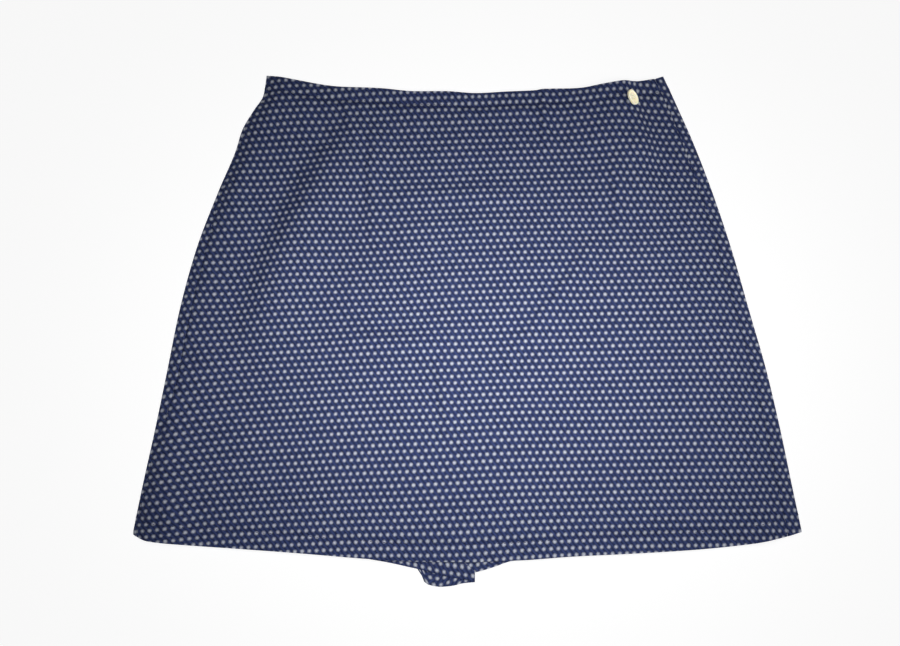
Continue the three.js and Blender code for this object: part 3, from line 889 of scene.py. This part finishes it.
def printed_dots(tree, cloth):
    """How much of the pale print each place has: one dot to a cell, every second row moved along by half."""
    cell = (DOT_PITCH * MM, ROW_PITCH * MM, 1)
    cells = add_node(tree, VECTOR_MATH, {"operation": "DIVIDE"}, {0: cloth, 1: cell}).outputs[0]
    middle = add_node(tree, VECTOR_MATH, {"operation": "ADD"}, {0: cells, 1: (0.5, 0.5, 0)}).outputs[0]
    row = add_node(tree, "ShaderNodeSeparateXYZ", inputs={0: middle}).outputs[1]
    row = add_node(tree, MATH, {"operation": "FLOOR"}, {0: row}).outputs[0]
    odd = add_node(tree, MATH, {"operation": "FLOORED_MODULO"}, {0: row, 1: 2.0}).outputs[0]
    half = add_node(tree, MATH, MULTIPLY, {0: odd, 1: 0.5}).outputs[0]
    stagger = add_node(tree, "ShaderNodeCombineXYZ", inputs={0: half}).outputs[0]
    moved = add_node(tree, VECTOR_MATH, SUBTRACT, {0: middle, 1: stagger}).outputs[0]
    which = add_node(tree, VECTOR_MATH, {"operation": "FLOOR"}, {0: moved}).outputs[0]
    inside = add_node(tree, VECTOR_MATH, {"operation": "FRACTION"}, {0: moved}).outputs[0]
    offset = add_node(tree, VECTOR_MATH, SUBTRACT, {0: inside, 1: (0.5, 0.5, 0)}).outputs[0]
    offset = add_node(tree, VECTOR_MATH, MULTIPLY, {0: offset, 1: (DOT_PITCH, ROW_PITCH, 0)}).outputs[0]
    far = add_node(tree, VECTOR_MATH, {"operation": "LENGTH"}, {0: offset}).outputs[1]

    # Millimetres from the dot's middle, made a little uneven: its edge is soft, and its middle slightly worn
    chance = add_node(tree, "ShaderNodeTexWhiteNoise", FLAT_NOISE, {"Vector": which}).outputs[0]
    ragged = add_node(tree, NOISE, FLAT_NOISE, {"Vector": cloth, "Scale": 900.0, "Detail": 2.0}).outputs[0]
    uneven = add_node(tree, MATH, MULTIPLY_ADD, {0: chance, 1: DOT_VARIETY, 2: far}).outputs[0]
    uneven = add_node(tree, MATH, MULTIPLY_ADD, {0: ragged, 1: DOT_RAGGEDNESS, 2: uneven}).outputs[0]
    edge = {0: uneven, 1: DOT_EDGE[0], 2: DOT_EDGE[1], 3: 1.0, 4: 0.0}
    dot = add_node(tree, MAP_RANGE, SOFT_STEP, edge).outputs[0]
    middle = {0: far, 1: WORN_MIDDLE[0], 2: WORN_MIDDLE[1], 3: WORN_STRENGTH, 4: 1.0}
    worn = add_node(tree, MAP_RANGE, SOFT_STEP, middle).outputs[0]
    return add_node(tree, MATH, MULTIPLY, {0: dot, 1: worn}).outputs[0]


def weave(tree, cloth):
    """The grain of the threads, and the shade that it and the streaks of the dye give the ground colour."""
    # The real threads are about 0.3 mm apart. They are drawn 3.2 mm apart, on the bias, so that they show.
    turned = {"Vector": cloth, "Rotation": (0, 0, math.radians(40)), "Scale": (1, 2.2, 1)}
    bias = add_node(tree, "ShaderNodeMapping", {"vector_type": "TEXTURE"}, turned).outputs[0]
    bands = {"Vector": bias, "Scale": 98.0, "Distortion": 2.4, "Detail": 2.0, "Detail Scale": 1.5}
    twill = add_node(tree, WAVE, {"wave_type": "BANDS"}, bands).outputs[1]
    lumps = {"Vector": bias, "Scale": 330.0, "Detail": 3.0, "Roughness": 0.65}
    slub = add_node(tree, NOISE, FLAT_NOISE, lumps).outputs[0]
    lengthened = {"Vector": cloth, "Scale": (16.0, 110.0, 1.0)}
    drawn_out = add_node(tree, "ShaderNodeMapping", inputs=lengthened).outputs[0]
    streaks = add_node(tree, NOISE, FLAT_NOISE, {"Vector": drawn_out, "Scale": 1.0, "Detail": 3.0}).outputs[0]
    threads = add_node(tree, MATH, MULTIPLY, {0: twill, 1: 0.45}).outputs[0]
    grain = add_node(tree, MATH, MULTIPLY_ADD, {0: slub, 1: 0.55, 2: threads}).outputs[0]
    shade = add_node(tree, MATH, MULTIPLY_ADD, {0: streaks, 1: 0.25, 2: 0.12}).outputs[0]
    shade = add_node(tree, MATH, MULTIPLY_ADD, {0: grain, 1: 1.5, 2: shade}).outputs[0]
    return grain, shade


def printed_cotton():
    """Navy cotton with a small staggered pale print: matt, with a dry mottled grain and ragged dots."""
    material, tree, surface = new_material("printed_cotton_cloth", Specular_IOR_Level=0.25)
    cloth = add_node(tree, "ShaderNodeUVMap", {"uv_map": "Cloth"}).outputs[0]
    pale = printed_dots(tree, cloth)
    grain, shade = weave(tree, cloth)
    navy = {0: 1.0, 6: linear("#3e4b7d"), 7: shade}
    ground = add_node(tree, MIX, {"data_type": "RGBA", "blend_type": "MULTIPLY"}, navy).outputs[2]
    colour = add_node(tree, MIX, COLOUR, {0: pale, 6: ground, 7: linear("#ecf1ff")})
    tree.links.new(colour.outputs[2], surface.inputs["Base Color"])
    rough = add_node(tree, MAP_RANGE, inputs={0: grain, 3: 0.78, 4: 0.94})
    tree.links.new(rough.outputs[0], surface.inputs["Roughness"])
    bump = add_node(tree, "ShaderNodeBump", inputs={"Strength": 0.35, "Distance": 0.0003, "Height": grain})
    tree.links.new(bump.outputs[0], surface.inputs["Normal"])
    return material


def two_tone(name, pattern, settings, inputs, dark, light, **surface_values):
    """A material whose colour goes from dark to light with a pattern in the piece's own coordinates."""
    material, tree, surface = new_material(name, **surface_values)
    place = add_node(tree, "ShaderNodeTexCoord").outputs["Object"]
    share = add_node(tree, pattern, settings, {"Vector": place, **inputs}).outputs["Fac"]
    colour = add_node(tree, MIX, COLOUR, {0: share, 6: linear(dark), 7: linear(light)})
    tree.links.new(colour.outputs[2], surface.inputs["Base Color"])
    return material, tree, surface, share


def sewing_thread():
    """Spun polyester thread in navy: two plies, a little brighter than the cloth along their tops. The
    lighter bands are painted highlight on the plies' tops and the darker bands are painted shade between the
    plies.
    """
    plies = {"wave_type": "BANDS", "bands_direction": "DIAGONAL"}
    material, tree, surface, share = two_tone(
        "navy_polyester_thread", WAVE, plies, {"Scale": 500.0}, "#191f40", "#303a6c", Roughness=0.55
    )
    bump = add_node(tree, "ShaderNodeBump", inputs={"Strength": 0.4, "Distance": 0.0001, "Height": share})
    tree.links.new(bump.outputs[0], surface.inputs["Normal"])
    return material


def button_thread_finish():
    """Cream cotton thread: matt and softly ribbed by its plies. The ribs are bands of painted shade between
    the plies and painted highlight on their tops.
    """
    plies = {"Scale": 700.0, "Distortion": 1.0}
    material, *_ = two_tone(
        "cream_cotton_thread", WAVE, {"wave_type": "BANDS"}, plies, "#b5ad8c", "#ddd6ba", Roughness=0.8
    )
    return material


def cream_resin():
    """Cast polyester resin, turned and tumbled: a soft gloss over faint milky clouds."""
    clouds = {"Scale": 260.0, "Detail": 3.0, "Distortion": 0.8}
    glow = {"Subsurface_Weight": 0.6, "Subsurface_Radius": (0.006, 0.005, 0.0035)}
    material, tree, surface, share = two_tone(
        "cream_polyester_resin", NOISE, {}, clouds, "#f3e8c4", "#fff8e0", IOR=1.56, **glow
    )
    rough = add_node(tree, MAP_RANGE, inputs={0: share, 3: 0.42, 4: 0.55})
    tree.links.new(rough.outputs[0], surface.inputs["Roughness"])
    return material


# --- Stitches -------------------------------------------------------------------------------------


def one_stitch():
    """The points and faces of a plump stitch along X whose ends dive into the cloth."""
    bpy.ops.object.select_all(action="DESELECT")
    bpy.ops.mesh.primitive_uv_sphere_add(segments=6, ring_count=6, radius=1, rotation=(0, math.pi / 2, 0))
    stitch = bpy.context.object
    stitch.scale = (STITCH_WIDTH / 2 / STITCH_FLATNESS, STITCH_WIDTH / 2, STITCH_LENGTH / 2)
    bpy.ops.object.transform_apply(location=True, rotation=True, scale=True)
    mesh = stitch.data
    bpy.ops.object.mode_set(mode="EDIT")
    bpy.ops.mesh.select_all(action="DESELECT")
    bpy.ops.object.mode_set(mode="OBJECT")
    for vertex in mesh.vertices:
        vertex.select = abs(vertex.co.x) > STITCH_LENGTH * STITCH_ENDS
    bpy.ops.object.mode_set(mode="EDIT")
    bpy.ops.transform.translate(value=(0, 0, -STITCH_WIDTH * STITCH_DIVE))
    bpy.ops.object.mode_set(mode="OBJECT")
    points = np.array([vertex.co[:] for vertex in mesh.vertices])
    faces = [list(polygon.vertices) for polygon in mesh.polygons]
    bpy.data.objects.remove(stitch)
    return points, faces


def place_along(distance, gone, path):
    """The places at some distances along a path, from how far its own points have gone."""
    return np.stack([np.interp(distance, gone, path[:, axis]) for axis in range(3)], axis=-1)


def run_of_stitches(name, stitch, path, outward):
    """Copies of a stitch joined in one mesh, end to end along a path on the cloth."""
    shape, shape_faces = stitch
    gone = np.concatenate(([0], np.cumsum(np.linalg.norm(np.diff(path, axis=0), axis=1))))
    count = int(gone[-1] // STITCH_SPACING)
    places = (np.arange(count) + 0.5) * gone[-1] / count
    half = STITCH_LENGTH / 2
    middle = place_along(places, gone, path)
    ahead = place_along(places + half, gone, path) - place_along(places - half, gone, path)
    ahead /= np.linalg.norm(ahead, axis=1, keepdims=True)
    up = place_along(places, gone, outward)
    across = np.cross(up, ahead)
    across /= np.linalg.norm(across, axis=1, keepdims=True)
    up = np.cross(ahead, across)
    points = (
        middle[:, None, :]
        + shape[None, :, :1] * ahead[:, None, :]
        + shape[None, :, 1:2] * across[:, None, :]
        + shape[None, :, 2:] * up[:, None, :]
    )
    faces = []
    for copy in range(count):
        faces += [[corner + copy * len(shape) for corner in face] for face in shape_faces]
    mesh = bpy.data.meshes.new(name)
    mesh.from_pydata((points.reshape(-1, 3) * MM).tolist(), [], faces)
    mesh.shade_smooth()
    piece = bpy.data.objects.new(name, mesh)
    bpy.context.scene.collection.objects.link(piece)
    return piece


def stitch_path(points, row, face):
    """A row of a grid, moved to one face of its cloth, and the way out there."""
    across = np.gradient(points[row], axis=0)
    up = points[row + 1] - points[row - 1]
    out = np.cross(across, up) * face
    out /= np.linalg.norm(out, axis=1, keepdims=True)
    path = points[row] + out * (CLOTH / 2 + STITCH_WIDTH * STITCH_LIFT)
    path[:, 2] = np.maximum(path[:, 2], STITCH_WIDTH * STITCH_FLOOR)
    return path, out


# --- Button ---------------------------------------------------------------------------------------

BUTTON_RADIUS = 7.6
BUTTON_THICKNESS = 2.3
BUTTON_RIM = 1.6
BUTTON_DISH = 0.6
BUTTON_BEVEL = 0.6
HOLE_RADIUS = 0.9
HOLE_OFFSET = 1.9  # from the button's middle, on its diagonals
HOLE_SIDE = HOLE_OFFSET * math.sin(math.pi / 4)  # the same, along its axes
DRILL_LENGTH = 6
BUTTON_TURN = Euler((0, math.radians(48), math.radians(15)))
THREAD_RADIUS = 0.42
BIGHT_HEIGHT = 0.62  # how flat the thread lies, against a half circle from hole to hole
BIGHT_SINK = 0.15  # how deep its ends start below the dish
SHANK_RADIUS = 1.7
SHANK_LENGTH = 2.2
SHANK_MIDDLE = -1.9  # under the button's middle


def choose_faces(piece, wanted):
    """Edit mode with only the wanted faces selected."""
    choose(piece)
    bpy.ops.object.mode_set(mode="EDIT")
    bpy.ops.mesh.select_mode(type="FACE")
    bpy.ops.mesh.select_all(action="DESELECT")
    bpy.ops.object.mode_set(mode="OBJECT")
    for face in piece.data.polygons:
        face.select = wanted(face)
    bpy.ops.object.mode_set(mode="EDIT")


def set_on_button(piece):
    """Turn a piece that was made flat round the origin, and put it where the button is."""
    low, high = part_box("button")
    piece.rotation_euler = BUTTON_TURN
    piece.location = [(a + b) / 2 for a, b in zip(low, high)]
    choose(piece)
    bpy.ops.object.transform_apply(location=True, rotation=True, scale=True)


def button_disc():
    bpy.ops.object.select_all(action="DESELECT")
    size = {"radius": BUTTON_RADIUS * MM, "depth": BUTTON_THICKNESS * MM}
    bpy.ops.mesh.primitive_cylinder_add(vertices=64, **size)
    disc = bpy.context.object
    disc.name = disc.data.name = "button_disc"
    choose_faces(disc, lambda face: face.normal.z > 0.9)
    bpy.ops.mesh.inset(thickness=BUTTON_RIM * MM)
    bpy.ops.mesh.inset(thickness=BUTTON_DISH * MM)
    bpy.ops.transform.translate(value=(0, 0, -BUTTON_DISH * MM))
    bpy.ops.object.mode_set(mode="OBJECT")
    soft = disc.modifiers.new("soft edges", "BEVEL")
    soft.width = BUTTON_BEVEL * MM
    soft.segments = 4
    soft.limit_method = "ANGLE"
    soft.angle_limit = math.radians(25)
    bpy.ops.object.modifier_apply(modifier=soft.name)
    size = {"radius": HOLE_RADIUS * MM, "depth": DRILL_LENGTH * MM}
    for hole in range(4):
        angle = math.pi / 2 * (hole + 0.5)
        place = (HOLE_OFFSET * MM * math.cos(angle), HOLE_OFFSET * MM * math.sin(angle), 0)
        bpy.ops.mesh.primitive_cylinder_add(vertices=20, location=place, **size)
        drill = bpy.context.object
        cut = disc.modifiers.new("hole", "BOOLEAN")
        cut.operation = "DIFFERENCE"
        cut.solver = "EXACT"
        cut.object = drill
        choose(disc)
        bpy.ops.object.modifier_apply(modifier=cut.name)
        bpy.data.objects.remove(drill)
    choose(disc)
    bpy.ops.object.shade_smooth_by_angle(angle=math.radians(35))
    set_on_button(disc)
    return disc


def thread_loop(place_y):
    """One bight of thread over the button between two holes."""
    bpy.ops.object.select_all(action="DESELECT")
    size = {"radius": THREAD_RADIUS * MM, "location": (HOLE_SIDE * MM, 0, 0)}
    bpy.ops.mesh.primitive_circle_add(vertices=8, fill_type="NGON", **size)
    loop = bpy.context.object
    bpy.ops.object.transform_apply(location=True)
    bpy.ops.object.mode_set(mode="EDIT")
    bpy.ops.mesh.select_all(action="SELECT")
    bpy.ops.mesh.spin(steps=10, angle=math.pi, center=(0, 0, 0), axis=(0, -1, 0))
    bpy.ops.mesh.select_all(action="SELECT")
    bpy.ops.mesh.remove_doubles(threshold=0.00001)
    bpy.ops.mesh.normals_make_consistent(inside=False)
    bpy.ops.transform.resize(value=(1, 1, BIGHT_HEIGHT), center_override=(0, 0, 0))
    height = BUTTON_THICKNESS / 2 - BUTTON_DISH - BIGHT_SINK
    bpy.ops.transform.translate(value=(0, place_y * MM, height * MM))
    bpy.ops.object.mode_set(mode="OBJECT")
    return loop


def button_thread():
    """Two bights on the button's face, and the wound shank under it."""
    loops = [thread_loop(-HOLE_SIDE), thread_loop(HOLE_SIDE)]
    bpy.ops.object.select_all(action="DESELECT")
    size = {"radius": SHANK_RADIUS * MM, "depth": SHANK_LENGTH * MM, "location": (0, 0, SHANK_MIDDLE * MM)}
    bpy.ops.mesh.primitive_cylinder_add(vertices=16, **size)
    shank = bpy.context.object
    choose_faces(shank, lambda face: abs(face.normal.z) < 0.5)
    bpy.ops.mesh.subdivide(number_cuts=3)
    bpy.ops.object.mode_set(mode="OBJECT")
    choose(shank)
    for loop in loops:
        loop.select_set(True)
    bpy.ops.object.join()
    thread = bpy.context.object
    thread.name = thread.data.name = "button_thread"
    bpy.ops.object.transform_apply(location=True)
    bpy.ops.object.shade_smooth_by_angle(angle=math.radians(60))
    set_on_button(thread)
    return thread


# --- Floor and light ------------------------------------------------------------------------------

FLOOR_SIZE = 8000
FLOOR_DROP = 0.05  # so that nothing shares its surface
LAMP_PLACE = (26, -38, 430)
LAMP_SIZE = (460, 240)
LAMP_POWER = 0.5  # watts
LAMP_SPREAD = math.radians(101)
WINDOW_TURN = math.radians(-30)  # a window's soft light from the garment's left and the hem
WINDOW_HEIGHT = math.radians(38)
WINDOW_SOFTNESS = math.radians(24)  # its width as the garment sees it
WINDOW_STRENGTH = 0.4
BUTTON_LAMP_PLACE = (290, 110, 390)
BUTTON_LAMP_SIZE = 120
BUTTON_LAMP_POWER = 1.3
ROOM_LIGHT = 0.045


def set_stage():
    bpy.ops.object.select_all(action="DESELECT")
    bpy.ops.mesh.primitive_plane_add(size=FLOOR_SIZE * MM, location=(0, 0, -FLOOR_DROP * MM))
    floor = bpy.context.object
    floor.name = "floor"
    # Matt white paper, evenly lit from behind, so that it stays clear of shadows
    lit = {"Emission_Color": linear("#ffffff"), "Emission_Strength": 0.9}
    paper, *_ = new_material(
        "white_paper", Base_Color=linear("#898989"), Roughness=0.9, Specular_IOR_Level=0, **lit
    )
    floor.data.materials.append(paper)


def add_lamp(name, kind, power, **settings):
    data = bpy.data.lights.new(name, kind)
    data.energy = power
    for key, value in settings.items():
        setattr(data, key, value)
    lamp = bpy.data.objects.new(name, data)
    bpy.context.scene.collection.objects.link(lamp)
    return lamp


def set_light(button_pieces):
    shape = {"shape": "ELLIPSE", "size": LAMP_SIZE[0] * MM, "size_y": LAMP_SIZE[1] * MM}
    lamp = add_lamp("soft_lamp", "AREA", LAMP_POWER, spread=LAMP_SPREAD, **shape)
    lamp.location = Vector(LAMP_PLACE) * MM
    lamp.visible_camera = False
    window = add_lamp("window_light", "SUN", WINDOW_STRENGTH, angle=WINDOW_SOFTNESS)
    window.rotation_euler = (0, math.pi / 2 - WINDOW_HEIGHT, WINDOW_TURN)

    # The glossy button is picked out by a lamp of its own.
    only_button = bpy.data.collections.new("only_button")
    for piece in button_pieces:
        only_button.objects.link(piece)
    lamp = add_lamp("button_lamp", "AREA", BUTTON_LAMP_POWER, shape="DISK", size=BUTTON_LAMP_SIZE * MM)
    lamp.location = Vector(BUTTON_LAMP_PLACE) * MM
    middle = (Vector(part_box("button")[0]) + Vector(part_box("button")[1])) / 2
    lamp.rotation_euler = (lamp.location - middle).to_track_quat("Z", "Y").to_euler()
    lamp.visible_camera = False
    lamp.light_linking.receiver_collection = only_button

    world = bpy.data.worlds.new("room")
    world.use_nodes = True
    background = world.node_tree.nodes["Background"]
    background.inputs[0].default_value = (1, 1, 1, 1)
    background.inputs[1].default_value = ROOM_LIGHT
    bpy.context.scene.world = world
    bpy.context.scene.view_settings.view_transform = "Standard"


# --- Assembly -------------------------------------------------------------------------------------


def finish_piece(piece, material, slot, *nodes):
    """Give a piece its material and body, and hide the CAD nodes that it stands for."""
    piece.data.materials.clear()
    piece.data.materials.append(material)
    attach(piece, "root")
    if nodes:
        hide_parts(*nodes)


set_camera()
cotton = printed_cotton()
navy_thread = sewing_thread()
stitch = one_stitch()

PANELS = {
    "back_right": back("back_right", BACK_RIGHT_HEM, -1),
    "back_left": back("back_left", BACK_LEFT_HEM, 1),
    "shorts_front_right": shorts_front("shorts_front_right", SHORTS_FRONT_RIGHT_HEM, -1),
    "shorts_front_left": shorts_front("shorts_front_left", SHORTS_FRONT_LEFT_HEM, 1),
    "skirt_front": skirt_front(),
}
# For each panel: the width and length of its cut, the panels that it rests on, and which face its stitches
# lie on: 1 for the one that its grid's own normal points out of, and -1 for the other. It is the outer face,
# except on the left back, whose stitches lie inside, between the cloth and its turned allowance.
CUTS = {
    "back_right": ((325, 500), [], 1),
    "back_left": ((325, 500), [], 1),
    "shorts_front_right": ((310, 500), ["back_right"], -1),
    "shorts_front_left": ((310, 500), ["back_left"], 1),
    "skirt_front": ((600, 480), ["shorts_front_right", "shorts_front_left"], 1),
}

for name, (points, places) in PANELS.items():
    (width, length), below, face = CUTS[name]
    piece = cloth_piece(name + "_cloth", points, places)
    finish_piece(piece, cotton, "printed_cotton", name)
    for edge, row in STITCH_ROWS.items():
        path, out = stitch_path(points, row, face)
        thread = run_of_stitches(f"{name}_{edge}_stitches", stitch, path, out)
        finish_piece(thread, navy_thread, "printed_cotton")

disc = button_disc()
finish_piece(disc, cream_resin(), "cream_resin", "button")
disc_thread = button_thread()
finish_piece(disc_thread, button_thread_finish(), "cream_resin")

set_stage()
set_light([disc, disc_thread])

bpy.context.view_layer.update()
